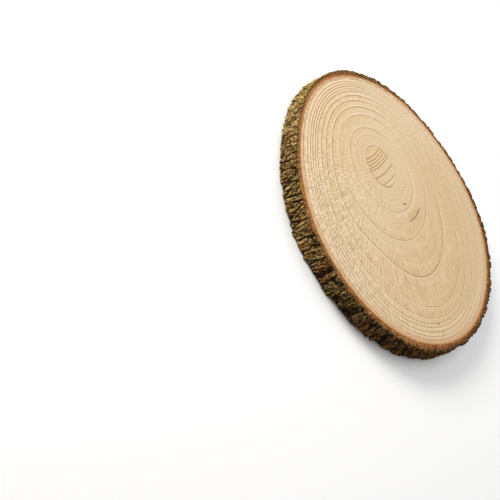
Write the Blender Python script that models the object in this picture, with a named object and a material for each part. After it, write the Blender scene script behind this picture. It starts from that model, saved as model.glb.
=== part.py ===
"""A round slice sawn across a small trunk: a disc of wood held in its ring of furrowed bark.

Metres, +Z up. The slice lies on its sawn underside at z = 0, with the origin in the middle of
that face, where the axis of the trunk's round outline goes through it.
"""
import math

import bmesh
import bpy
from mathutils import Vector, noise

# Sizes of the slice
WOOD_RADIUS = 0.118
THICKNESS = 0.018
BARK_DEPTH = 0.0049
SEAM = 0.0003

# The wood's outline is nearly round. Each wave in it has its number of crests, its height, and
# the angle of a crest in degrees.
WOOD_WAVES = (
    (1, 0.0005, 158),
    (2, 0.0003, -26),
    (3, 0.0017, 53),
    (4, 0.0006, 75),
    (5, 0.0003, 55),
    (6, 0.0003, 13),
)

# The bark's thickness varies round the trunk, by waves that are written in the same way.
BARK_WAVES = (
    (1, 0.0017, 20),
    (2, 0.0004, -85),
    (3, 0.0003, 40),
    (4, 0.0006, -30),
)

# The bark splits into plates along the trunk, with furrows between them that wander. A furrow
# cuts through a share of the bark, and takes up a share of the width of its plates.
PLATE_WIDTH = 0.0085
PLATE_LENGTH = 0.036
PLATE_RISE = 0.0005
FURROW_CUT = 0.33
FURROW_SHARE = 0.28
WANDER = 0.0013
WANDER_SPAN = 0.0080

# Broad uneven swelling of the bark
BULGE = 0.0008
BULGE_SPAN = 0.015

# Finishes
WOOD_COLOUR = (0.74, 0.57, 0.37)
WOOD_ROUGHNESS = 0.6
BARK_COLOUR = (0.13, 0.085, 0.045)
BARK_ROUGHNESS = 0.9

# Blender draws its noise vectors from the clock unless they have a seed. This one puts the
# furrows in the same places in every run.
NOISE_SEED = 1795982288

# Fineness of the surfaces
WOOD_POINTS = 144
BARK_COLUMNS = 600
WALL_ROWS = 7
SHARP_EDGE = 50


def waved(plain, waves, angle):
    """A size that varies round the trunk by waves, at an angle in radians."""
    for crests, height, crest in waves:
        plain += height * math.cos(crests * (angle - math.radians(crest)))
    return plain


def wood_radius(angle):
    """Distance from the outline's centre to the edge of the wood."""
    return waved(WOOD_RADIUS, WOOD_WAVES, angle)


def bark_depth(angle):
    """Thickness of the bark, before its furrows."""
    return waved(BARK_DEPTH, BARK_WAVES, angle)


def furrow(place):
    """How far the bark is split at a place on its outside: 0 on a plate, 1 in a furrow."""
    place = place + WANDER * noise.noise_vector(place / WANDER_SPAN)
    cell = Vector((place.x / PLATE_WIDTH, place.y / PLATE_WIDTH, place.z / PLATE_LENGTH))
    nearest, second = noise.voronoi(cell)[0][:2]
    return 1 - min((second - nearest) / FURROW_SHARE, 1)


def bark_radius(angle, height):
    """Distance from the outline's centre to the outside of the bark."""
    trunk = Vector((WOOD_RADIUS * math.cos(angle), WOOD_RADIUS * math.sin(angle), height))
    split = furrow(trunk)
    depth = bark_depth(angle)
    relief = PLATE_RISE - FURROW_CUT * depth * split * split
    relief += BULGE * noise.noise(trunk / BULGE_SPAN)
    return wood_radius(angle) + SEAM + depth + relief


def material(name, colour, roughness):
    """A plain finish in one colour."""
    finish = bpy.data.materials.new(name)
    finish.use_nodes = True
    shader = finish.node_tree.nodes["Principled BSDF"]
    shader.inputs["Base Color"].default_value = (*colour, 1)
    shader.inputs["Roughness"].default_value = roughness
    shader.inputs["Metallic"].default_value = 0
    return finish


def make_wood():
    """The disc of wood, a filled outline raised to the slice's thickness."""
    outline = bpy.data.curves.new("wood", "CURVE")
    outline.dimensions = "2D"
    outline.fill_mode = "BOTH"
    outline.extrude = THICKNESS / 2
    edge = outline.splines.new("POLY")
    edge.points.add(WOOD_POINTS - 1)
    edge.use_cyclic_u = True
    for number, point in enumerate(edge.points):
        angle = math.tau * number / WOOD_POINTS
        radius = wood_radius(angle)
        point.co = (radius * math.cos(angle), radius * math.sin(angle), 0, 1)
    wood = bpy.data.objects.new("wood", outline)
    wood.location = (0, 0, THICKNESS / 2)
    outline.materials.append(material("wood", WOOD_COLOUR, WOOD_ROUGHNESS))
    return wood


def turned_ring():
    """A plain closed ring of bark: its section turned once around the trunk's axis."""
    inside = WOOD_RADIUS + SEAM
    outside = inside + BARK_DEPTH
    wall = [(outside, THICKNESS * row / (WALL_ROWS - 1)) for row in range(WALL_ROWS)]
    corners = wall + [(inside, THICKNESS), (inside, 0)]
    shape = bmesh.new()
    section = [shape.verts.new((radius, 0, height)) for radius, height in corners]
    sides = [shape.edges.new((section[i - 1], section[i])) for i in range(len(section))]
    bmesh.ops.spin(
        shape,
        geom=section + sides,
        axis=(0, 0, 1),
        angle=math.tau,
        steps=BARK_COLUMNS,
        use_merge=True,
    )
    bmesh.ops.recalc_face_normals(shape, faces=shape.faces)
    ring = bpy.data.meshes.new("bark")
    shape.to_mesh(ring)
    shape.free()
    return ring


def make_bark():
    """The ring of bark: it follows the wood on its inside, and is furrowed on its outside."""
    ring = turned_ring()
    for vertex in ring.vertices:
        x, y, height = vertex.co
        angle = math.atan2(y, x)
        radius = wood_radius(angle) + SEAM
        if math.hypot(x, y) > WOOD_RADIUS + BARK_DEPTH / 2:
            radius = bark_radius(angle, height)
        vertex.co = (radius * math.cos(angle), radius * math.sin(angle), height)
    ring.shade_smooth()
    ring.set_sharp_from_angle(angle=math.radians(SHARP_EDGE))
    ring.materials.append(material("bark", BARK_COLOUR, BARK_ROUGHNESS))
    return bpy.data.objects.new("bark", ring)


def main():
    noise.seed_set(NOISE_SEED)
    for old in list(bpy.data.objects):
        bpy.data.objects.remove(old)
    slice_parts = bpy.data.collections.new("wood_slice")
    bpy.context.scene.collection.children.link(slice_parts)
    for piece in (make_wood(), make_bark()):
        slice_parts.objects.link(piece)


main()
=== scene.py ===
"""The look of a wood slice: pale end grain with its growth rings, in a ring of furrowed bark.

Metres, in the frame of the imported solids: the slice lies on its underside, +Z up. Directions on
the slice are angles from +X, in degrees.
"""
import math

import bpy
import numpy as np
from mathutils import Matrix, Vector, noise


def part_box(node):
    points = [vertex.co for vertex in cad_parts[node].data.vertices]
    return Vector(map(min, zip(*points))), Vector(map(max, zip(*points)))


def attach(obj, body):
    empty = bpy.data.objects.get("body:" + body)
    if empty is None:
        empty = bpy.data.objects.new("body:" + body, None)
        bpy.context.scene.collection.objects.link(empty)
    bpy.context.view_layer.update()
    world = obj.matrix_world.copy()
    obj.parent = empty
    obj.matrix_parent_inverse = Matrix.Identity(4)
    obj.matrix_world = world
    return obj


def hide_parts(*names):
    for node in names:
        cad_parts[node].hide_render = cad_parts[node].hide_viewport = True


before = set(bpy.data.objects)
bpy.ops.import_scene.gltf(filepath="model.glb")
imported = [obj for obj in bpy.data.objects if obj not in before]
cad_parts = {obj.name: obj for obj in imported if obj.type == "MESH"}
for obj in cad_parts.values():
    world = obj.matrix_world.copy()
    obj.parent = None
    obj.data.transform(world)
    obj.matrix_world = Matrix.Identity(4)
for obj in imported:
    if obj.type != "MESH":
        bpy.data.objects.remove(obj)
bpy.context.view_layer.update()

# The slice's sizes, as in its solids
WOOD_RADIUS = 0.118
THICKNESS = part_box("wood")[1].z
BARK_DEPTH = 0.0049
WOOD_WAVES = (
    (1, 0.0005, 158),
    (2, 0.0003, -26),
    (3, 0.0017, 53),
    (4, 0.0006, 75),
    (5, 0.0003, 55),
    (6, 0.0003, 13),
)
BARK_WAVES = (
    (1, 0.0017, 20),
    (2, 0.0004, -85),
    (3, 0.0003, 40),
    (4, 0.0006, -30),
)
PLATE_WIDTH = 0.0085
PLATE_LENGTH = 0.036
PLATE_RISE = 0.0005
FURROW_CUT = 0.33
FURROW_SHARE = 0.28
WANDER = 0.0013
WANDER_SPAN = 0.0080
BULGE = 0.0008
BULGE_SPAN = 0.015
SEAM = 0.0003

# Finer relief of the bark's outside: thin splits, crags and grit, all calmer beside the sawn
# upper face
SPLIT_DEPTH = 0.0008
CRAG_DEPTH = 0.00068
GRIT_RISE = 0.00034
EDGE_CALM = 0.65
CALM_SPAN = 0.002

# A hollow of this depth counts as 1 in the painted shade of the bark's hollows.
HOLLOW_DEPTH = 0.0005

# The bark's sawn edges have crumbled, everywhere a little and here and there more, up to a share
# of its width. Its inside is tucked under the wood's edge.
EDGE_WEAR = 0.0002
WORST_WEAR = 0.0012
WEAR_REACH = 0.22
TUCK = 0.0006
TUCK_DROP = 0.001

# Blender draws its noise vectors from the clock unless they have a seed. The solids' seed puts
# the furrows where they are in the solids.
NOISE_SEED = 1795982288

# The pith lies off centre. Each growth ring has its age, from 0 at the pith to 1 under the bark,
# and how strongly its dark edge shows.
PITH = (-0.312 * WOOD_RADIUS, 0.056 * WOOD_RADIUS)
GROWTH_RINGS = (
    (0.271, 0.45),
    (0.406, 0.25),
    (0.482, 0.50),
    (0.611, 0.58),
    (0.690, 1.00),
    (0.751, 0.85),
    (0.799, 0.95),
    (0.841, 0.95),
    (0.864, 0.85),
    (0.888, 1.05),
    (0.909, 0.95),
    (0.935, 0.80),
    (0.971, 0.65),
)

# Growth was uneven. Each pull has its direction and spread in degrees, the age that it was
# strongest at and its span of ages, and how far it moved the rings as a share of the way out.
GROWTH_PULLS = (
    (294, 106, 0.050, 1.142, -0.081),
    (340, 45, 0.942, 0.123, 0.133),
    (30, 121, 0.469, 0.316, -0.166),
    (304, 41, 0.487, 0.138, -0.029),
    (354, 57, 0.740, 0.101, 0.309),
    (12, 69, 0.713, 0.115, -0.178),
    (317, 22, 0.724, 0.062, -0.069),
)

# Marks on the upper face, in wood radii. The saw's ripples across the core are arcs about one
# point, and a crack follows a ring. A fine split has the places of its two ends, and a pinhole
# its place and its size.
CORE = 0.160
RIPPLE_CENTRE = (-1.05, -0.05)
RIPPLES = (0.653, 0.678, 0.700, 0.722, 0.742, 0.800, 0.867)
RIPPLE_DEPTH = 0.00014
CRACK_RADIUS = 0.436
CRACK_TURN = (-3, 28)
CRACK_DEPTH = 0.0001
FINE_SPLITS = (
    (-0.194, -0.055, -0.075, -0.156),
    (0.399, -0.302, 0.545, -0.426),
    (0.421, -0.195, 0.589, -0.282),
)
PINHOLES = (
    (0.0, 0.10, 1.2),
    (0.819, -0.24, 0.8),
    (-0.20, -0.215, 0.6),
    (-0.562, 0.21, 0.5),
)
PINHOLE_DEPTH = 0.0003

# How far the marks are bent out of their true arcs and lines, in wood radii
BEND = 0.012

# Directions that the wood's looks change by. In the photo's view the rings and rays are clearest
# at the left, the rings softest and the rays calmest at the upper left, and the rings fade at the
# right. The wood is tan at the lower right, partly its own tone and partly painted shade, and rosy
# beside the bark at the bottom.
CLEAREST_RINGS = 230
SOFT_RINGS = 195
FADED_RINGS = 88
TAN_AND_SHADE_SIDE = 20
ROSY_WOOD = 305

# Directions that the bark's looks change by. In the photo's view its outside is palest at the
# upper left, painted light on that side and painted shade on the far side. Its sawn face is
# painted light at the left and darker in painted shade away from it, and only its inner layers
# are at the right.
LIT_BARK_SIDE = 205
LIT_CUT_SIDE = 265
LIGHT_LAYERS = 65

# Fineness of the surfaces. Rows of the upper face are spaced for a long way from pith to bark,
# and are closer together up to an age.
WOOD_COLUMNS = 360
INNER_SPACING = 0.00055
OUTER_SPACING = 0.00120
CLOSER_UP_TO = 0.62
LONG_WAY = 1.2 * WOOD_RADIUS
UNDERSIDE_ROWS = 26
BARK_COLUMNS = 2100
BARK_WALL_ROWS = 34
BARK_FACE_ROWS = 5

# The photo's camera. Pixels are those of its 500 by 500 frame.
FRAME_SIDE = 500
LENS = 85
SENSOR = 36
TILT = math.radians(51.81)
ROLL = math.radians(62.12)
DISTANCE = 8.167 * WOOD_RADIUS
FACE_PIXEL = (398.36, 207.70)

# Each lamp has its name, place, width, power and colour. All of them aim at the slice.
LAMPS = (
    ("key", (-0.90, -0.31, 0.52), 0.5, 11.0, (1, 0.985, 0.96)),
    ("top", (-0.3, 0.3, 1.6), 1.2, 6.4, (1, 1, 1)),
    ("back", (0.60, 0.90, 0.85), 1.0, 3.8, (1, 1, 1)),
)
SKY_STRENGTH = 0.38
FLOOR_REACH = 6
FLOOR_DROP = 0.0002
FLOOR_GREY = 0.97

# Specular level of dry wood and bark, which hardly shine
DULL = 0.12


def turn_from(direction, ahead):
    """The angle in degrees from one direction to another, between -180 and 180."""
    return (direction - ahead + 180) % 360 - 180


def bell(offset, spread):
    """1 at no offset, falling smoothly to nearly 0 at twice the spread."""
    return np.exp(-((offset / spread) ** 2))


def smooth(low, high, value):
    """0 below low, 1 above high, and a smooth step between."""
    share = np.clip((value - low) / (high - low), 0, 1)
    return share * share * (3 - 2 * share)


def waved(plain, waves, angle):
    """A size that varies round the trunk by waves, at an angle in radians."""
    for crests, height, crest in waves:
        plain = plain + height * np.cos(crests * (angle - math.radians(crest)))
    return plain


def wood_radius(angle):
    """Distance from the origin to the edge of the wood."""
    return waved(WOOD_RADIUS, WOOD_WAVES, angle)


def bark_depth(angle):
    """Thickness of the bark, before its furrows."""
    return waved(BARK_DEPTH, BARK_WAVES, angle)


# Meshes

def grid_mesh(name, points, wrap_rows):
    """A closed surface from rows of points round the slice, with poles unless its rows wrap."""
    rows, columns = points.shape[:2]
    vertices = points.reshape(-1, 3)
    order = np.arange(rows * columns).reshape(rows, columns)
    following = np.roll(order, -1, axis=1)
    faces = []
    last = rows if wrap_rows else rows - 1
    for row in range(last):
        below = (row + 1) % rows
        faces += np.stack(
            [order[row], order[below], following[below], following[row]], axis=1
        ).tolist()
    if not wrap_rows:
        poles = [points[0].mean(axis=0), points[-1].mean(axis=0)]
        vertices = np.vstack([vertices, poles])
        top, bottom = rows * columns, rows * columns + 1
        faces += [[top, a, b] for a, b in zip(order[0], following[0])]
        faces += [[bottom, b, a] for a, b in zip(order[-1], following[-1])]
    mesh = bpy.data.meshes.new(name)
    mesh.from_pydata(vertices.tolist(), [], faces)
    mesh.validate()
    mesh.shade_smooth()
    return mesh


def keep(mesh, name, values, poles=()):
    """Stores one number a point, or one vector, for the shader to read."""
    flat = np.asarray(values, float)
    width = 3 if flat.ndim == 3 else 1
    flat = flat.reshape(-1, width)
    if len(poles):
        flat = np.vstack([flat, np.asarray(poles, float).reshape(-1, width)])
    kind, field = ("FLOAT_VECTOR", "vector") if width == 3 else ("FLOAT", "value")
    layer = mesh.attributes.new(name, kind, "POINT")
    layer.data.foreach_set(field, flat.ravel())


# Wood

def ring_rows():
    """Ages for the rows of points: each ring's dark edge has a row, with finer rows between."""
    edges = [0.0] + [age for age, _ in GROWTH_RINGS] + [1.0]
    ages = []
    for inner, outer in zip(edges, edges[1:]):
        spacing = INNER_SPACING if outer < CLOSER_UP_TO else OUTER_SPACING
        count = max(4, round((outer - inner) * LONG_WAY / spacing))
        ages += np.linspace(inner, outer, count, endpoint=False).tolist()
    return np.array(ages[1:] + [1.0])


def ring_number(age):
    """Counts the rings: whole at each dark edge, and in between by age."""
    edges = [0.0] + [edge for edge, _ in GROWTH_RINGS] + [1.0]
    return np.interp(age, edges, range(len(edges)))


def ring_strength(age):
    """How strongly the dark edge nearest in count shows."""
    strengths = [0.0] + [strength for _, strength in GROWTH_RINGS] + [0.3]
    return np.interp(np.round(ring_number(age)), range(len(strengths)), strengths)


def growth_share(age, direction):
    """How far out a ring lies in a direction, as a share of the way from the pith to the bark.

    The pulls fade out at both ends of the way.
    """
    ends = 1 - age**12 - (1 - age) ** 9
    share = age
    for ahead, spread, strongest, span, pull in GROWTH_PULLS:
        lean = bell(turn_from(direction, ahead), spread)
        share = share + pull * ends * lean * bell(age - strongest, span)
    return share


def face_relief(flat):
    """Height of the upper face's marks below its sawn level, at points of it."""
    x = flat[..., 0] / WOOD_RADIUS
    y = flat[..., 1] / WOOD_RADIUS
    pith_x, pith_y = (value / WOOD_RADIUS for value in PITH)
    from_pith = np.hypot(x - pith_x, y - pith_y)
    turn = np.degrees(np.arctan2(y - pith_y, x - pith_x))

    across = np.hypot(x - RIPPLE_CENTRE[0], y - RIPPLE_CENTRE[1])
    # One more line lies beyond each end of the ripples.
    first, last = 0.56, 0.90
    lines = np.array((first,) + RIPPLES + (last,))
    step = np.searchsorted(lines, np.clip(across, first + 0.001, last - 0.001)) - 1
    climb = (across - lines[step]) / (lines[step + 1] - lines[step])
    in_core = smooth(CORE, CORE * 0.90, from_pith)
    relief = -RIPPLE_DEPTH * in_core * (1 - np.clip(climb, 0, 1))

    along = smooth(CRACK_TURN[0] - 3, CRACK_TURN[0] + 6, turn)
    along *= smooth(CRACK_TURN[1] + 3, CRACK_TURN[1] - 6, turn)
    relief -= CRACK_DEPTH * along * bell(from_pith - CRACK_RADIUS, 0.0035)
    for left, up, size in PINHOLES:
        relief -= PINHOLE_DEPTH * size * bell(np.hypot(x - left, (y - up) / 2.2), 0.0045 * size)
    return relief


def make_wood():
    """The wood's disc: its upper face has a row of points along each ring, and fine marks."""
    angle = np.linspace(0, math.tau, WOOD_COLUMNS, endpoint=False)
    rim = np.stack([wood_radius(angle) * np.cos(angle), wood_radius(angle) * np.sin(angle)], -1)
    reach = rim - np.array(PITH)
    direction = np.degrees(np.arctan2(reach[:, 1], reach[:, 0]))
    length = np.hypot(reach[:, 0], reach[:, 1])

    top_ages = ring_rows()
    under_ages = np.linspace(1, 0, UNDERSIDE_ROWS, endpoint=False)
    ages = np.concatenate([top_ages, under_ages])[:, None] * np.ones(WOOD_COLUMNS)
    heights = np.concatenate([np.full(len(top_ages), THICKNESS), np.zeros(len(under_ages))])
    share = growth_share(ages, direction)
    flat = np.array(PITH) + share[..., None] * reach
    points = np.dstack([flat, heights[:, None] * np.ones(WOOD_COLUMNS)])
    top = len(top_ages)
    points[:top, :, 2] += face_relief(flat[:top])

    mesh = grid_mesh("wood_slice", points, wrap_rows=False)
    spread = np.gradient(share * length, axis=0) / np.gradient(ring_number(ages), axis=0)
    keep(mesh, "ring", ring_number(ages), [0, 0])
    keep(mesh, "ring_width", np.abs(spread) * 1000, [5, 5])
    keep(mesh, "strength", ring_strength(ages), [0, 0])
    keep(mesh, "age", ages, [0, 0])
    keep(mesh, "to_bark", (1 - share) * length * 1000, [60, 60])
    outward = np.column_stack([reach / length[:, None], np.zeros(WOOD_COLUMNS)])
    outward = np.broadcast_to(outward, points.shape)
    keep(mesh, "outward", outward, [(0, 0, 0), (0, 0, 0)])
    upper = np.concatenate([np.ones(top), np.zeros(len(under_ages))])
    keep(mesh, "upper", upper[:, None] * np.ones(WOOD_COLUMNS), [1, 0])
    wood = bpy.data.objects.new("wood_slice", mesh)
    bpy.context.scene.collection.objects.link(wood)
    return wood


# Bark

def furrow(place):
    """How far the bark is split at a place on its outside, and a number for the plate there."""
    place = place + WANDER * noise.noise_vector(place / WANDER_SPAN)
    cell = Vector((place.x / PLATE_WIDTH, place.y / PLATE_WIDTH, place.z / PLATE_LENGTH))
    distances, seeds = noise.voronoi(cell)
    split = 1 - min((distances[1] - distances[0]) / FURROW_SHARE, 1)
    plate = noise.cell(seeds[0] * 7.3)
    return split, plate


def crevice(place):
    """Thin broken splits along the trunk: 1 in the middle of one, 0 beside it."""
    width = 0.0021
    length = 0.0085
    bent = place + 0.0008 * noise.noise_vector(place / 0.0035)
    strip = Vector((bent.x / width, bent.y / width, bent.z / length))
    openness = 0.5 + 0.5 * noise.noise(place / 0.008)
    return max(0, 1 - abs(noise.noise(strip)) / (0.06 + 0.16 * openness))


def craggy(place, across, along, fading):
    """Branching rough splits, about -1 to 1, and most sharply 1 in their middles."""
    cell = Vector((place.x / across, place.y / across, place.z / along))
    return 1.6 * (noise.ridged_multi_fractal(cell, fading, 2.1, 4, 1.0, 2.0) - 1.15)


def bark_relief(angle, height):
    """Relief of the bark's outside, how split it is there, and its plate's number."""
    trunk = Vector((WOOD_RADIUS * math.cos(angle), WOOD_RADIUS * math.sin(angle), height))
    split, plate = furrow(trunk)
    narrow = crevice(trunk)
    bent = trunk + 0.0012 * noise.noise_vector(trunk / 0.006)
    rough = craggy(bent, 0.0026, 0.0110, 0.5)
    grit = craggy(bent + Vector((1, 2, 3)), 0.0014, 0.0034, 0.4)
    relief = PLATE_RISE - FURROW_CUT * bark_depth(angle) * split * split
    relief += BULGE * noise.noise(trunk / BULGE_SPAN)
    calm = 1 - EDGE_CALM * math.exp(-(((THICKNESS - height) / CALM_SPAN) ** 2))
    relief -= calm * (SPLIT_DEPTH * narrow + CRAG_DEPTH * rough - GRIT_RISE * grit)
    return relief, max(split * split, 0.8 * narrow), plate


def worn_edge(angle, phase):
    """How far the bark's cut edge has crumbled away, at an angle."""
    place = Vector((60 * math.cos(angle), 60 * math.sin(angle), phase))
    crumbled = max(0, noise.noise(place) + 0.3 * noise.noise(3.1 * place))
    return EDGE_WEAR + WORST_WEAR * crumbled


def blurred(values, columns, rows):
    """Mean over the points around each one of the bark's wall."""
    wide = sum(np.roll(values, shift, axis=1) for shift in range(-columns, columns + 1))
    padded = np.pad(wide / (2 * columns + 1), ((rows, rows), (0, 0)), mode="edge")
    return sum(padded[row:row + len(values)] for row in range(2 * rows + 1)) / (2 * rows + 1)


def bark_wall(angle):
    """Relief, split and plate number over the bark's outside, with a row for each height."""
    heights = np.linspace(0, THICKNESS, BARK_WALL_ROWS)
    measures = [[bark_relief(along, height) for along in angle] for height in heights]
    return np.moveaxis(np.array(measures), 2, 0)


def bark_section(angle, inner, outer):
    """Radius and height of each row: up the wall, in over the top, down, and out below."""
    across = np.linspace(0, 1, BARK_FACE_ROWS + 1)[:-1][::-1, None]
    top = inner + across * (outer[-1] - inner)
    under = inner + across[::-1] * (outer[0] - inner)
    tucked = inner[None] - TUCK
    radius = np.vstack([outer, top, tucked, tucked, under])

    wall = np.linspace(0, THICKNESS, BARK_WALL_ROWS)
    face = np.full(BARK_FACE_ROWS, THICKNESS)
    inside = [THICKNESS - TUCK_DROP, TUCK_DROP]
    heights = np.concatenate([wall, face, inside, face - THICKNESS])[:, None] + 0 * radius
    upper_wear = np.array([worn_edge(along, 3) for along in angle])
    lower_wear = np.array([worn_edge(along, 8) for along in angle])
    near_edge = bell(np.concatenate([[0], 1 - across[:, 0]]), WEAR_REACH)[:, None]
    heights[BARK_WALL_ROWS - 1:BARK_WALL_ROWS + BARK_FACE_ROWS] -= near_edge * upper_wear
    heights[-BARK_FACE_ROWS:] += near_edge[:0:-1] * lower_wear
    heights[0] += lower_wear
    return radius, heights


def beside_wall(values, rows):
    """Values of the wall over all rows of the bark. Rows next to it share them, others have 0."""
    full = np.zeros((rows, BARK_COLUMNS))
    full[:BARK_WALL_ROWS] = values
    full[BARK_WALL_ROWS] = values[-1]
    full[-1] = values[0]
    return full


def make_bark():
    """The ring of bark, furrowed on its outside and sawn flat above and below."""
    angle = np.linspace(0, math.tau, BARK_COLUMNS, endpoint=False)
    inner = wood_radius(angle)
    relief, split, plate = bark_wall(angle)
    outer = inner + SEAM + bark_depth(angle) + relief
    radius, heights = bark_section(angle, inner, outer)
    points = np.dstack([radius * np.cos(angle), radius * np.sin(angle), heights])
    mesh = grid_mesh("bark_ring", points, wrap_rows=True)

    rows = len(radius)
    outside = np.zeros((rows, BARK_COLUMNS))
    outside[:BARK_WALL_ROWS] = 1
    hollow = (relief - blurred(relief, 5, 3)) / HOLLOW_DEPTH
    keep(mesh, "outside", outside)
    keep(mesh, "split", beside_wall(split, rows))
    keep(mesh, "plate", beside_wall(plate, rows))
    keep(mesh, "cavity", beside_wall(hollow, rows))
    keep(mesh, "from_wood", (radius - inner) * 1000)
    above = np.repeat(outer[-1:], BARK_FACE_ROWS, axis=0)
    below = np.repeat(outer[:1], BARK_FACE_ROWS + 2, axis=0)
    keep(mesh, "to_air", (np.vstack([outer, above, below]) - radius) * 1000)
    bark = bpy.data.objects.new("bark_ring", mesh)
    bpy.context.scene.collection.objects.link(bark)
    return bark


# Finishes

class Finish:
    """A material, with short calls that add shader nodes to it."""

    def __init__(self, name):
        self.material = bpy.data.materials.new(name)
        self.material.use_nodes = True
        self.tree = self.material.node_tree
        self.shader = self.tree.nodes["Principled BSDF"]

    def put(self, socket, value):
        """Sets an input to a value, or links it to another node."""
        if isinstance(value, bpy.types.NodeSocket):
            self.tree.links.new(value, socket)
        else:
            socket.default_value = value

    def node(self, kind, inputs, output=0, **settings):
        """Adds a node, and returns one of its outputs."""
        made = self.tree.nodes.new("ShaderNode" + kind)
        for key, value in settings.items():
            setattr(made, key, value)
        for key, value in inputs.items():
            self.put(made.inputs[key], value)
        return made.outputs[output]

    def stored(self, name, output="Fac"):
        """A measure kept with the points of the mesh."""
        return self.node("Attribute", {}, output, attribute_name=name)

    def math(self, operation, *values, clamp=False):
        inputs = dict(enumerate(values))
        return self.node("Math", inputs, operation=operation, use_clamp=clamp)

    def times(self, first, *others):
        """The product of two or more values."""
        for other in others:
            first = self.math("MULTIPLY", first, other)
        return first

    def vector(self, operation, first, second):
        return self.node("VectorMath", {0: first, 1: second}, operation=operation)

    def scaled(self, vector, factor):
        return self.node("VectorMath", {0: vector, "Scale": factor}, operation="SCALE")

    def measured(self, operation, *vectors):
        """A number from vectors, such as a length or a distance."""
        inputs = dict(enumerate(vectors))
        return self.node("VectorMath", inputs, 1, operation=operation)

    def toward(self, vector, degrees):
        """How far a vector points in a direction on the slice: 1 along it, -1 against it."""
        turn = math.radians(degrees)
        ahead = (math.cos(turn), math.sin(turn), 0)
        return self.measured("DOT_PRODUCT", vector, ahead)

    def joined(self, x, y, z):
        return self.node("CombineXYZ", {0: x, 1: y, 2: z})

    def noise(self, vector, scale, detail=3.0, roughness=0.5):
        inputs = {"Vector": vector, "Scale": scale, "Detail": detail, "Roughness": roughness}
        return self.node("TexNoise", inputs, "Fac")

    def step(self, value, low, high):
        """0 at low and 1 at high, smoothly; low may be the larger."""
        inputs = {"Value": value, "From Min": low, "From Max": high}
        return self.node("MapRange", inputs, interpolation_type="SMOOTHSTEP")

    def span(self, value, low, high, first, last):
        """The first result at low and the last at high, and in between evenly."""
        inputs = {
            "Value": value,
            "From Min": low,
            "From Max": high,
            "To Min": first,
            "To Max": last,
        }
        return self.node("MapRange", inputs)

    def mix(self, share, first, second, blend="MIX"):
        made = self.tree.nodes.new("ShaderNodeMix")
        made.data_type = "RGBA"
        made.blend_type = blend
        made.clamp_factor = True
        self.put(made.inputs["Factor"], share)
        self.put(made.inputs[6], first)
        self.put(made.inputs[7], second)
        return made.outputs[2]

    def ramp(self, value, stops):
        made = self.tree.nodes.new("ShaderNodeValToRGB")
        points = made.color_ramp.elements
        while len(points) < len(stops):
            points.new(0.5)
        for point, (position, colour) in zip(points, stops):
            point.position = position
            point.color = colour
        self.put(made.inputs["Fac"], value)
        return made.outputs["Color"]

    def bump(self, height, distance):
        return self.node("Bump", {"Height": height, "Distance": distance, "Strength": 1.0})

    def finish(self, colour, roughness, normal):
        self.put(self.shader.inputs["Base Color"], colour)
        self.put(self.shader.inputs["Roughness"], roughness)
        self.put(self.shader.inputs["Normal"], normal)
        return self.material


def shade(red, green, blue):
    """A colour as seen on a screen, 0 to 255, turned to the light that a shader takes."""
    values = []
    for part in (red, green, blue):
        part = part / 255
        values.append(part / 12.92 if part <= 0.04045 else ((part + 0.055) / 1.055) ** 2.4)
    return (*values, 1)


def ring_place(made, place):
    """How far through its ring a place is, and its distances in mm from the ring's two edges."""
    width = made.stored("ring_width")
    wave = made.span(made.noise(place, 30, 3, 0.55), 0, 1, -0.5, 0.5)
    tremble = made.span(made.noise(place, 220, 2, 0.5), 0, 1, -0.3, 0.3)
    shift = made.math("DIVIDE", made.math("ADD", wave, tremble), width)
    count = made.math("ADD", made.stored("ring"), shift)
    part = made.math("FRACT", count)
    before = made.times(made.math("SUBTRACT", 1, part), width)
    after = made.times(part, width)
    return part, before, after


def ring_lines(made, place, outward, age, to_soft):
    """The rings' dark edges and the pale growth after each, as masks, and two measures.

    The measures are how far through its ring a place is, and how clearly rings and rays show
    in its direction.
    """
    part, before, after = ring_place(made, place)
    thin = made.math("MAXIMUM", made.step(before, 0.52, 0.08), made.step(after, 0.32, 0.05))
    soft = made.math("MAXIMUM", made.step(before, 1.6, 0.0), made.step(after, 0.8, 0.0))
    beads = made.span(made.noise(place, 760, 2, 0.6), 0.34, 0.64, 0.60, 1.38)
    sided = made.step(to_soft, 0.60, 0.95)
    thin = made.times(thin, made.span(sided, 0, 1, 1.0, 0.95), beads)
    soft = made.times(soft, made.span(sided, 0, 1, 0.15, 0.36))
    line = made.math("ADD", thin, soft)
    fresh = made.times(made.step(after, 1.9, 0.7), made.step(after, 0.2, 0.5))

    clear = made.span(made.toward(outward, CLEAREST_RINGS), -1, 1, 0.30, 1.0)
    all_round = made.math("MAXIMUM", clear, made.span(age, 0.72, 0.80, 0.95, 0.0))
    faded = made.span(made.toward(outward, FADED_RINGS), 0.68, 0.94, 1.0, 0.22)
    uneven = made.span(made.noise(place, 48, 2, 0.5), 0.38, 0.62, 0.72, 1.20)
    shown = made.times(made.stored("strength"), all_round, faded, uneven)
    return made.times(line, shown), made.times(fresh, shown), part, clear


def arc(made, from_centre, radius, width):
    """1 on a circle's line and 0 beside it, from distances to its centre."""
    away = made.math("ABSOLUTE", made.math("SUBTRACT", from_centre, radius))
    return made.step(away, width, width * 0.2)


def beside_line(made, flat, ends):
    """How far a place on the face is from a straight mark, in wood radii."""
    start = Vector((ends[0], ends[1], 0))
    way = Vector((ends[2], ends[3], 0)) - start
    offset = made.vector("SUBTRACT", flat, start)
    share = made.measured("DOT_PRODUCT", offset, way / way.length_squared)
    share = made.math("MULTIPLY", share, 1, clamp=True)
    gap = made.vector("SUBTRACT", offset, made.scaled(tuple(way), share))
    return made.measured("LENGTH", gap)


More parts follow.
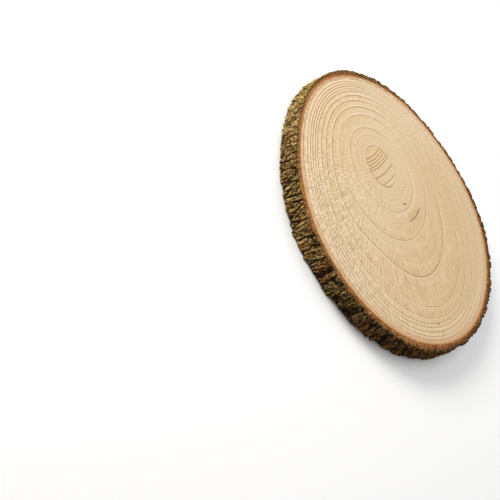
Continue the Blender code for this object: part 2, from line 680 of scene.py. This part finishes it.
def core_marks(made, bent, from_pith, turn):
    """Masks of the painted shade of the saw's ripples, the chip at their end and the core's dark
    edge.
    """
    inside = made.step(from_pith, CORE, CORE * 0.93)
    centre = (RIPPLE_CENTRE[0] + BEND / 2, RIPPLE_CENTRE[1] + BEND / 2, 0)
    across = made.measured("DISTANCE", bent, centre)
    ripple_shade = 0.0
    for radius in RIPPLES:
        ripple_shade = made.math("MAXIMUM", ripple_shade, arc(made, across, radius, 0.0060))
    chip = made.times(made.step(across, 0.866, 0.872), made.step(across, 0.888, 0.874))
    lower_side = made.times(made.step(turn, -1.4, -0.9), made.step(turn, 0.15, -0.1))
    edge = made.times(arc(made, from_pith, CORE, 0.010), lower_side)
    return made.times(ripple_shade, inside), made.times(chip, inside), edge


def crack_marks(made, from_pith, turn, broken):
    """Masks of the crack along a ring, and of the darker wood on its inner side."""
    low, high = (math.radians(angle) for angle in CRACK_TURN)
    starts = made.step(turn, low - 0.03, low + 0.12)
    along = made.times(starts, made.step(turn, high + 0.03, high - 0.12))
    opened = made.times(made.span(broken, 0, 1, 0.40, 0.90), made.span(turn, low, high, 0.55, 1.0))
    crack = made.times(arc(made, from_pith, CRACK_RADIUS, 0.0085), along, opened)
    beside = made.times(arc(made, from_pith, CRACK_RADIUS - 0.02, 0.05), along)
    return crack, beside


def pinhole_marks(made, flat):
    """A mask of the pinholes, each more than twice as long as wide."""
    holes = 0.0
    for across, up, size in PINHOLES:
        offset = made.vector("SUBTRACT", flat, (across, up, 0))
        reach = made.measured("LENGTH", made.vector("MULTIPLY", offset, (1, 0.42, 0)))
        holes = made.math("MAXIMUM", holes, made.step(reach, 0.0075 * size, 0.003 * size))
    return holes


def split_marks(made, bent, broken):
    """A mask of the fine splits."""
    splits = 0.0
    for ends in FINE_SPLITS:
        line = made.step(beside_line(made, bent, ends), 0.0105, 0.002)
        splits = made.math("MAXIMUM", splits, line)
    return made.times(splits, made.span(broken, 0, 1, 0.5, 1.0))


def face_marks(made, place):
    """Masks of the upper face's marks, which the underside doesn't have."""
    flat = made.scaled(made.vector("MULTIPLY", place, (1, 1, 0)), 1 / WOOD_RADIUS)
    bends = made.node("TexNoise", {"Vector": place, "Scale": 90.0}, "Color")
    bent = made.vector("ADD", flat, made.scaled(bends, BEND))
    pith = (PITH[0] / WOOD_RADIUS + BEND / 2, PITH[1] / WOOD_RADIUS + BEND / 2, 0)
    from_pith = made.measured("DISTANCE", bent, pith)
    x = made.node("SeparateXYZ", {0: made.vector("SUBTRACT", bent, pith)})
    turn = made.math("ARCTAN2", x.node.outputs["Y"], x)
    broken = made.step(made.noise(place, 180, 2, 0.6), 0.36, 0.50)

    ripple_shade, chip, edge = core_marks(made, bent, from_pith, turn)
    crack, beside = crack_marks(made, from_pith, turn, broken)
    opening_shade = made.math("MAXIMUM", crack, pinhole_marks(made, flat))
    masks = (beside, split_marks(made, bent, broken), chip, edge, ripple_shade, opening_shade)
    upper = made.stored("upper")
    return [made.times(mask, upper) for mask in masks]


# Finish of the wood

def wood_ground(made, place, age, to_tan_and_shade, part):
    """Heart, sapwood and each ring's late growth, and a tan side that is partly painted shade."""
    cloud = made.step(made.noise(place, 11, 3, 0.5), 0.3, 0.7)
    colour = made.mix(cloud, shade(211, 187, 152), shade(218, 196, 167))
    # Partly painted shade: the tan side is where less light falls, and it is also the wood's own
    # tone.
    tan_and_shade = made.times(made.step(to_tan_and_shade, -0.2, 1.0), made.step(age, 0.35, 0.8), 0.72)
    colour = made.mix(tan_and_shade, colour, shade(204, 172, 126))
    late = made.times(made.math("POWER", part, 2.2), made.span(to_tan_and_shade, -0.6, 0.4, 0.52, 0.22))
    colour = made.mix(late, colour, shade(208, 174, 116))
    sapwood = made.times(made.step(age, 0.74, 0.88), made.span(to_tan_and_shade, -0.7, 0.9, 0.52, 0.06))
    colour = made.mix(sapwood, colour, shade(225, 206, 178))
    greyed = made.times(made.step(age, 0.86, 0.93), made.step(to_tan_and_shade, -0.1, 0.7), 0.45)
    return made.mix(greyed, colour, shade(214, 186, 156))


def add_striae(made, colour, place, age, clear):
    """Fine lines of growth that follow the rings."""
    sway = made.times(made.noise(place, 9), 6)
    striae = made.noise(made.joined(made.times(age, 95), 0, sway), 1.0, 3, 0.7)
    dark = made.times(made.span(striae, 0.48, 0.64, 0.0, 0.60), clear)
    dark = made.times(dark, made.span(age, 0.3, 0.85, 0.35, 1.0))
    colour = made.mix(dark, colour, shade(192, 160, 112))
    pale = made.span(striae, 0.50, 0.34, 0.0, 0.50)
    return made.mix(pale, colour, shade(228, 206, 170))


def add_rays(made, colour, rays, rayed):
    """Pale and dark rays that run from the pith to the bark."""
    pale = made.times(made.span(rays, 0.50, 0.60, 0.0, 0.90), rayed)
    colour = made.mix(pale, colour, shade(238, 218, 182))
    dark = made.times(made.span(rays, 0.48, 0.38, 0.0, 0.90), rayed)
    return made.mix(dark, colour, shade(174, 137, 80))


def add_grain(made, colour, stipple, rayed):
    """The ends of the fibres, as fine dark and pale dots."""
    grained = made.span(rayed, 0.2, 1.0, 0.5, 1.0)
    dark = made.times(made.span(stipple, 0.52, 0.66, 0.0, 0.62), grained)
    colour = made.mix(dark, colour, shade(180, 142, 86))
    pale = made.times(made.span(stipple, 0.47, 0.34, 0.0, 0.52), grained)
    return made.mix(pale, colour, shade(240, 222, 186))


def add_rim(made, colour, place, outward, to_tan_and_shade, to_soft):
    """The wood next to the bark: rosy, dotted in fine hoops, and dark at its edge."""
    to_bark = made.stored("to_bark")
    to_rosy = made.toward(outward, ROSY_WOOD)
    reach = made.span(to_rosy, 0.2, 1.0, 3.4, 8.0)
    rosy = made.times(made.step(to_bark, reach, 1.0), made.span(to_rosy, 0.2, 0.9, 0.34, 0.58))
    colour = made.mix(rosy, colour, shade(202, 154, 108))

    sway = made.times(made.noise(place, 120), 7)
    hoops = made.noise(made.joined(made.times(to_bark, 1.2), 0, sway), 1.0, 3, 0.7)
    dotted = made.times(made.step(hoops, 0.49, 0.58), made.step(to_bark, 5.0, 3.6))
    dotted = made.times(dotted, made.span(to_tan_and_shade, -0.5, 0.5, 0.70, 0.36))
    colour = made.mix(dotted, colour, shade(176, 118, 74))

    dark_width = made.span(to_soft, 0.5, 1.0, 0.1, 1.6)
    rim = made.step(made.math("SUBTRACT", to_bark, dark_width), 0.6, 0.1)
    rim = made.times(rim, made.span(to_tan_and_shade, -0.5, 0.5, 0.80, 0.30))
    flecks = made.step(made.noise(place, 520, 3, 0.7), 0.50, 0.60)
    return made.mix(rim, colour, made.mix(flecks, shade(142, 84, 38), shade(184, 128, 66)))


def add_marks(made, colour, place):
    """The upper face's marks, and the openings in it, which are dark with painted shade."""
    beside, splits, chip, edge, ripple_shade, opening_shade = face_marks(made, place)
    colour = made.mix(made.times(beside, 0.30), colour, shade(196, 158, 108))
    colour = made.mix(made.times(splits, 0.70), colour, shade(176, 136, 76))
    colour = made.mix(made.times(chip, 0.42), colour, shade(244, 230, 202))
    colour = made.mix(made.times(edge, 0.60), colour, shade(168, 122, 54))
    # Painted shade of the saw's steps along the ripples.
    colour = made.mix(made.times(ripple_shade, 0.82), colour, shade(168, 118, 48))
    # Painted shade in the crack and the pinholes.
    return made.mix(made.times(opening_shade, 0.95), colour, shade(98, 66, 0))


def wood_finish():
    """Pale end grain: rings, rays and fibres over soft bands of colour."""
    made = Finish("pale_end_grain")
    place = made.node("TexCoord", {}, "Object")
    outward = made.stored("outward", "Vector")
    age = made.stored("age")
    to_tan_and_shade = made.toward(outward, TAN_AND_SHADE_SIDE)
    to_soft = made.toward(outward, SOFT_RINGS)
    line, fresh, part, clear = ring_lines(made, place, outward, age, to_soft)
    rayed = made.times(made.math("POWER", clear, 1.6), made.span(age, 0.3, 0.8, 0.55, 1.0))
    rayed = made.times(rayed, made.span(to_soft, 0.3, 1.0, 1.0, 0.50))
    along_ray = made.joined(0, 0, made.times(age, 26))
    rays = made.noise(made.vector("ADD", made.scaled(outward, 130), along_ray), 1.0, 2, 0.65)
    stipple = made.noise(place, 820, 3, 0.65)

    colour = wood_ground(made, place, age, to_tan_and_shade, part)
    colour = add_striae(made, colour, place, age, clear)
    colour = add_rays(made, colour, rays, rayed)
    colour = add_grain(made, colour, stipple, rayed)
    colour = made.mix(made.times(fresh, 0.52), colour, shade(242, 226, 204))
    edges = made.mix(made.step(to_soft, 0.70, 0.98), shade(142, 102, 30), shade(174, 124, 48))
    colour = made.mix(line, colour, edges)
    colour = add_rim(made, colour, place, outward, to_tan_and_shade, to_soft)
    colour = add_marks(made, colour, place)

    height = made.math("SUBTRACT", made.times(stipple, 0.5), line)
    normal = made.bump(height, 0.00006)
    made.shader.inputs["Specular IOR Level"].default_value = DULL
    return made.finish(colour, made.span(rays, 0.3, 0.7, 0.55, 0.66), normal)


# Finish of the bark

def stretched(made, place, share):
    """A place with its height shrunk to a share, so that a noise there runs along the trunk."""
    return made.node("Mapping", {"Vector": place, "Scale": (1, 1, share)})


def around(made, place):
    """The direction of a place from the trunk's axis, across the slice."""
    flat = made.vector("MULTIPLY", place, (1, 1, 0))
    return made.node("VectorMath", {0: flat}, operation="NORMALIZE")


def bark_ground(made, place, lit_side):
    """The bark's plates, with brown patches, moss and bare cork, in painted light and shade by
    side.
    """
    plate = made.stored("plate")
    shaded_plate = made.mix(plate, shade(68, 43, 18), shade(88, 58, 27))
    pale = made.mix(plate, shade(130, 105, 60), shade(150, 124, 77))
    # Painted light and shade: each colour here has a shaded and a lit copy, mixed by direction,
    # and bare cork shows less on the shaded side.
    colour = made.mix(lit_side, shaded_plate, pale)
    patches = made.step(made.noise(place, 60, 3, 0.6), 0.42, 0.66)
    brown = made.mix(lit_side, shade(62, 36, 13), shade(114, 78, 33))
    colour = made.mix(patches, colour, brown)
    moss = made.step(made.noise(place, 42, 3, 0.65), 0.52, 0.64)
    colour = made.mix(made.times(moss, 0.60), colour, shade(96, 90, 22))
    bare = made.step(made.noise(made.vector("ADD", place, (3, 1, 2)), 110, 3, 0.7), 0.54, 0.63)
    bare = made.times(bare, made.span(lit_side, 0.75, 1.0, 0.70, 0.15))
    cork = made.mix(lit_side, shade(86, 54, 22), shade(160, 102, 38))
    return made.mix(bare, colour, cork)


def add_weathering(made, colour, place, lit_side, grit):
    """Painted shade in thin crevices, pits and furrows, and painted highlights on the grit."""
    # Painted shade of thin crevices along the trunk.
    crevice_shade = made.math("SUBTRACT", made.noise(stretched(made, place, 0.12), 360, 3, 0.6), 0.5)
    crevice_shade = made.step(made.math("ABSOLUTE", crevice_shade), 0.026, 0.006)
    colour = made.mix(made.times(crevice_shade, 0.60), colour, shade(26, 17, 7))
    # Painted shade of pits, with more of them on the shaded side.
    pit_shade = made.noise(stretched(made, place, 0.35), 400, 3, 0.7)
    pit_shade = made.step(pit_shade, made.span(lit_side, 0.2, 1.0, 0.47, 0.42), 0.34)
    colour = made.mix(made.times(pit_shade, 0.85), colour, shade(24, 15, 6))
    # Painted highlights on the grit, in a lit and a shaded copy.
    light = made.mix(lit_side, shade(140, 108, 62), shade(222, 192, 136))
    colour = made.mix(made.times(made.step(grit, 0.54, 0.64), 0.86), colour, light)
    # Painted shade in the furrows.
    furrow_shade = made.times(made.step(made.stored("split"), 0.25, 0.95), 0.85)
    return made.mix(furrow_shade, colour, shade(20, 12, 4))


def bark_outside(made, place, fibres):
    """Colour of the bark's weathered outside, with painted shade and highlights on its relief."""
    lit_side = made.step(made.toward(around(made, place), LIT_BARK_SIDE), -0.7, 0.9)
    grit = made.noise(stretched(made, place, 0.50), 680, 4, 0.75)
    # Painted shade in the hollows and painted highlight on the ridges. The grit and fibres add
    # mottle that is partly real tone and partly painted fine shade and highlight, and the darkest
    # of it turns warmer.
    cavity = made.span(made.stored("cavity"), -1.0, 1.0, 0.35, 1.60)
    shade_and_mottle = made.times(made.span(grit, 0.37, 0.63, 0.10, 2.25), cavity)
    shade_and_mottle = made.times(shade_and_mottle, made.span(fibres, 0.36, 0.64, 0.50, 1.50))
    colour = made.scaled(bark_ground(made, place, lit_side), shade_and_mottle)
    warm_shade = made.mix(made.step(shade_and_mottle, 1.1, 0.2), (1, 1, 1, 1), (1.0, 0.86, 0.58, 1))
    colour = made.mix(1.0, colour, warm_shade, "MULTIPLY")
    return add_weathering(made, colour, place, lit_side, grit)


def cut_layers(made, place, depth, sunk):
    """The layers of the sawn bark, golden and red-brown, with pale flecks."""
    jitter = made.span(made.noise(place, 240, 4, 0.7), 0, 1, -0.9, 0.9)
    wobble = made.math("MAXIMUM", made.math("ADD", depth, jitter), made.times(depth, 0.5))
    stops = (
        (0.0, shade(186, 130, 80)),
        (0.10, shade(156, 104, 56)),
        (0.24, shade(170, 118, 66)),
        (0.42, shade(156, 106, 54)),
        (0.60, shade(130, 88, 42)),
        (1.0, shade(96, 62, 26)),
    )
    colour = made.ramp(made.math("DIVIDE", wobble, 8), stops)
    reddish = made.step(made.noise(place, 22, 2, 0.5), 0.44, 0.60)
    colour = made.mix(made.times(reddish, 0.35), colour, shade(142, 80, 50))
    sway = made.times(made.noise(place, 70), 4)
    layers = made.noise(made.joined(made.times(depth, 0.8), sway, 0), 1.4, 3, 0.7)
    layers = made.times(made.span(layers, 0.50, 0.60, 0.0, 0.70), sunk)
    colour = made.mix(layers, colour, made.mix(reddish, shade(86, 50, 18), shade(92, 38, 22)))
    fleck = made.step(made.noise(made.vector("ADD", place, (1, 4, 0)), 620, 3, 0.7), 0.52, 0.60)
    return made.mix(made.times(fleck, 0.60), colour, shade(222, 166, 92))


def bark_cut(made, place):
    """Colour of the sawn bark, darker where crumbled and in painted shade away from its lit side.
    """
    depth = made.stored("from_wood")
    sunk = made.step(depth, 0.2, 1.2)
    colour = cut_layers(made, place, depth, sunk)
    direction = around(made, place)
    # Painted light and shade on the sawn face: darker, and with more dark crumbs, away from its
    # lit side.
    light = made.step(made.toward(direction, LIT_CUT_SIDE), -0.35, 0.50)
    layered = made.step(made.toward(direction, LIGHT_LAYERS), 0, 0.5)

    crumb = made.step(made.noise(place, 760, 3, 0.7), 0.51, 0.58)
    crumbs = made.times(crumb, made.span(light, 0, 1, 0.8, 0.5), sunk)
    colour = made.mix(crumbs, colour, shade(44, 24, 9))
    patches = made.span(made.noise(place, 260, 2, 0.6), 0.40, 0.60, 0.60, 1.30)
    patches = made.mix(made.step(depth, 0.6, 2.2), (1, 1, 1, 1), patches)
    colour = made.mix(1.0, colour, patches, "MULTIPLY")
    inner = made.times(made.step(depth, 2.6, 0.3), layered, 0.95)
    colour = made.scaled(colour, made.math("ADD", made.span(light, 0, 1, 0.66, 1.0), inner))

    rough = made.span(made.noise(place, 260, 3, 0.7), 0.3, 0.7, 0, 2.0)
    ragged = made.step(made.math("SUBTRACT", made.stored("to_air"), rough), 0.5, -0.2)
    olive = made.mix(crumb, shade(112, 84, 44), shade(44, 28, 11))
    return made.mix(ragged, colour, olive)


def bark_finish():
    """Rough dry bark: weathered on its outside, and sawn on its other faces."""
    made = Finish("furrowed_bark")
    place = made.node("TexCoord", {}, "Object")
    fibres = made.noise(stretched(made, place, 0.25), 620, 3, 0.70)
    speckle = made.noise(place, 900, 3, 0.65)
    cut = bark_cut(made, place)
    weathered = bark_outside(made, place, fibres)
    colour = made.mix(made.stored("outside"), cut, weathered)
    height = made.math("ADD", fibres, made.times(speckle, 0.5))
    normal = made.bump(height, 0.0016)
    made.shader.inputs["Specular IOR Level"].default_value = DULL
    return made.finish(colour, made.span(speckle, 0.3, 0.7, 0.85, 0.97), normal)


# Stage

def area_light(name, place, width, power, colour):
    """A round lamp that aims at the slice."""
    light = bpy.data.lights.new(name, "AREA")
    light.shape = "DISK"
    light.size = width
    light.energy = power
    light.color = colour
    lamp = bpy.data.objects.new(name, light)
    lamp.location = place
    lamp.rotation_euler = (-Vector(place)).to_track_quat("-Z", "Y").to_euler()
    bpy.context.scene.collection.objects.link(lamp)


def make_floor():
    """A plain pale floor just under the slice."""
    reach = FLOOR_REACH
    corners = [(-reach, -reach, 0), (reach, -reach, 0), (reach, reach, 0), (-reach, reach, 0)]
    mesh = bpy.data.meshes.new("floor")
    mesh.from_pydata(corners, [], [(0, 1, 2, 3)])
    floor = bpy.data.objects.new("floor", mesh)
    floor.location.z = -FLOOR_DROP
    bpy.context.scene.collection.objects.link(floor)
    made = Finish("pale_floor")
    made.shader.inputs["Base Color"].default_value = (FLOOR_GREY, FLOOR_GREY, FLOOR_GREY, 1)
    made.shader.inputs["Roughness"].default_value = 0.9
    mesh.materials.append(made.material)


def make_camera():
    """The photo's view, down onto the face from the -Y side, with the photo's roll."""
    lens = bpy.data.cameras.new("camera")
    lens.lens = LENS
    lens.sensor_width = SENSOR
    turned = Matrix.Rotation(TILT, 3, "X") @ Matrix.Rotation(ROLL, 3, "Z")
    focal = FRAME_SIDE * LENS / SENSOR
    across = (FACE_PIXEL[0] - FRAME_SIDE / 2) / focal
    up = (FRAME_SIDE / 2 - FACE_PIXEL[1]) / focal
    to_face = turned @ Vector((across, up, -1)) * DISTANCE
    camera = bpy.data.objects.new("camera", lens)
    camera.matrix_world = Matrix.Translation(Vector((0, 0, THICKNESS)) - to_face) @ turned.to_4x4()
    bpy.context.scene.collection.objects.link(camera)
    bpy.context.scene.camera = camera


def make_light():
    """Plain soft studio light, under a white sky."""
    scene = bpy.context.scene
    scene.view_settings.view_transform = "Standard"
    world = bpy.data.worlds.new("soft_white")
    world.use_nodes = True
    sky = world.node_tree.nodes["Background"]
    sky.inputs["Color"].default_value = (1, 1, 1, 1)
    sky.inputs["Strength"].default_value = SKY_STRENGTH
    scene.world = world
    for lamp in LAMPS:
        area_light(*lamp)


noise.seed_set(NOISE_SEED)

wood = make_wood()
wood.data.materials.append(wood_finish())
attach(wood, "root")
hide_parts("wood")

bark = make_bark()
bark.data.materials.append(bark_finish())
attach(bark, "root")
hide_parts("bark")

make_floor()
make_camera()
make_light()
